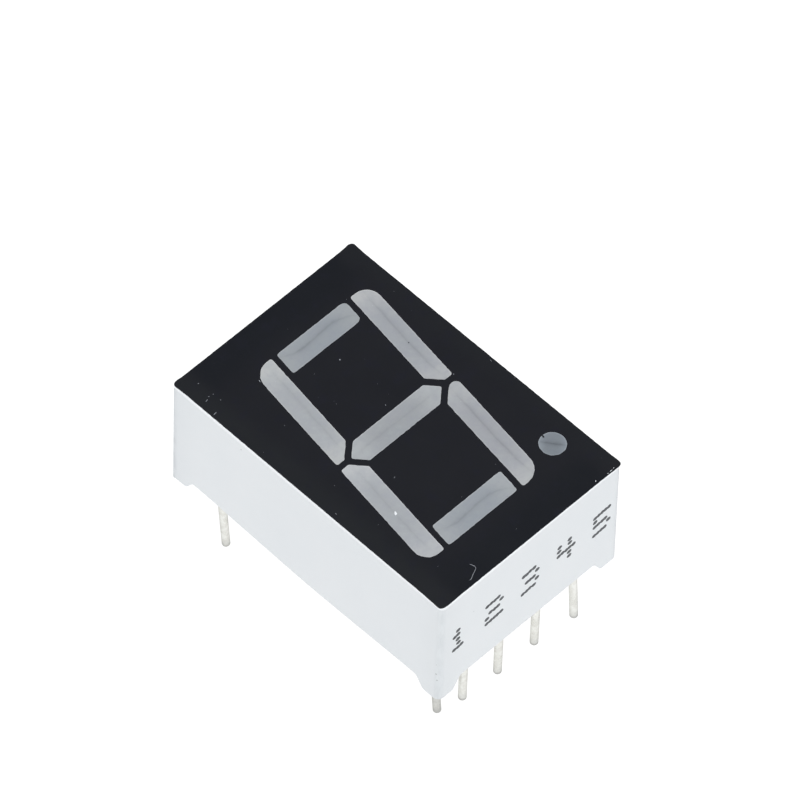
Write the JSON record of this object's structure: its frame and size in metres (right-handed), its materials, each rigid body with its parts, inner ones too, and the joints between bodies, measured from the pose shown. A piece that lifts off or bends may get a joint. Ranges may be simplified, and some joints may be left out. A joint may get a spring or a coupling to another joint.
{
  "type": "seven segment display",
  "caption": "Single-digit seven segment display with a decimal point: a white reflector case with an inked face, cast light segments and round pins in two rows.",
  "frame": {"origin": "the middle of the pin grid, on the plane of the pin tips", "axes": "+Z out of the face, +Y to the top of the digit, +X to its right, where the decimal point is"},
  "size_m": [0.0126, 0.019, 0.014],
  "materials": {
    "case": "satin",
    "ink": "satin",
    "diffuser": "satin",
    "laminate": "satin",
    "copper": "satin",
    "silver_glue": "satin",
    "crystal": "gloss",
    "bond_wire": "satin",
    "tinned_wire": "satin",
    "solder": "gloss",
    "resin": "gloss"
  },
  "bodies": {
    "root": {"reflector_case": "case", "face_ink": "ink", "segment_a": "diffuser", "segment_b": "diffuser", "segment_c": "diffuser", "segment_d": "diffuser", "segment_e": "diffuser", "segment_f": "diffuser", "segment_g": "diffuser", "decimal_point": "diffuser", "circuit_board": "laminate", "copper_tracks": "copper", "chip_glue": "silver_glue", "chip_a": "crystal", "chip_b": "crystal", "chip_c": "crystal", "chip_d": "crystal", "chip_e": "crystal", "chip_f": "crystal", "chip_g": "crystal", "chip_point": "crystal", "bond_wire_a": "bond_wire", "bond_wire_b": "bond_wire", "bond_wire_c": "bond_wire", "bond_wire_d": "bond_wire", "bond_wire_e": "bond_wire", "bond_wire_f": "bond_wire", "bond_wire_g": "bond_wire", "bond_wire_point": "bond_wire", "pin_1": "tinned_wire", "pin_2": "tinned_wire", "pin_3": "tinned_wire", "pin_4": "tinned_wire", "pin_5": "tinned_wire", "pin_6": "tinned_wire", "pin_7": "tinned_wire", "pin_8": "tinned_wire", "pin_9": "tinned_wire", "pin_10": "tinned_wire", "pin_solder": "solder", "potting": "resin"}
  },
  "joints": []
}
